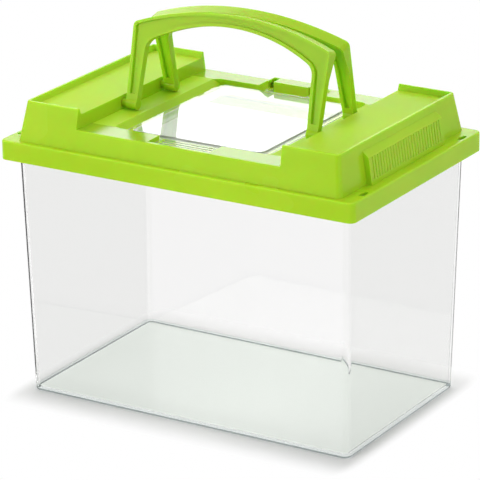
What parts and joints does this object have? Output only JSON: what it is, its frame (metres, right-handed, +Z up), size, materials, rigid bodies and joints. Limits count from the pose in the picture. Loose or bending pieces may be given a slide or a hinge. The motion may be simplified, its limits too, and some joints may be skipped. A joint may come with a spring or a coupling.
{
  "type": "faunarium",
  "caption": "Clear plastic faunarium tank with a lime lift-off lid, slotted side vents, a hinged clear feeding hatch and fold-down carrying bows",
  "frame": {"origin": "middle of the tank's underside", "axes": "+Z up, +X along the lid to the right, +Y to the rear; -Y is the front with the hatch's finger tab"},
  "size_m": [0.2326, 0.1526, 0.2301],
  "materials": {
    "clear_plastic": "clear, polished",
    "lime_plastic": "lime green, glossy, satin on the trays"
  },
  "bodies": {
    "tank": {"tank": "clear_plastic"},
    "lid": {"lid": "lime_plastic"},
    "hatch": {"hatch": "clear_plastic"},
    "front_handle": {"front_handle": "lime_plastic"},
    "rear_handle": {"rear_handle": "lime_plastic"}
  },
  "joints": [
    {"name": "lid_lift", "type": "slide", "parent": "tank", "child": "lid", "axis": [0, 0, 1], "range_m": [0, 0.06]},
    {"name": "hatch_hinge", "type": "hinge", "parent": "lid", "child": "hatch", "pos_m": [0, 0.0615, 0.1675], "axis": [-1, 0, 0], "range_deg": [0, 30]},
    {"name": "front_fold", "type": "hinge", "parent": "lid", "child": "front_handle", "pos_m": [0, -0.021, 0.1721], "axis": [1, 0, 0], "range_deg": [0, 105]},
    {"name": "rear_fold", "type": "hinge", "parent": "lid", "child": "rear_handle", "pos_m": [0, 0.021, 0.1721], "axis": [-1, 0, 0], "range_deg": [0, 105]}
  ]
}
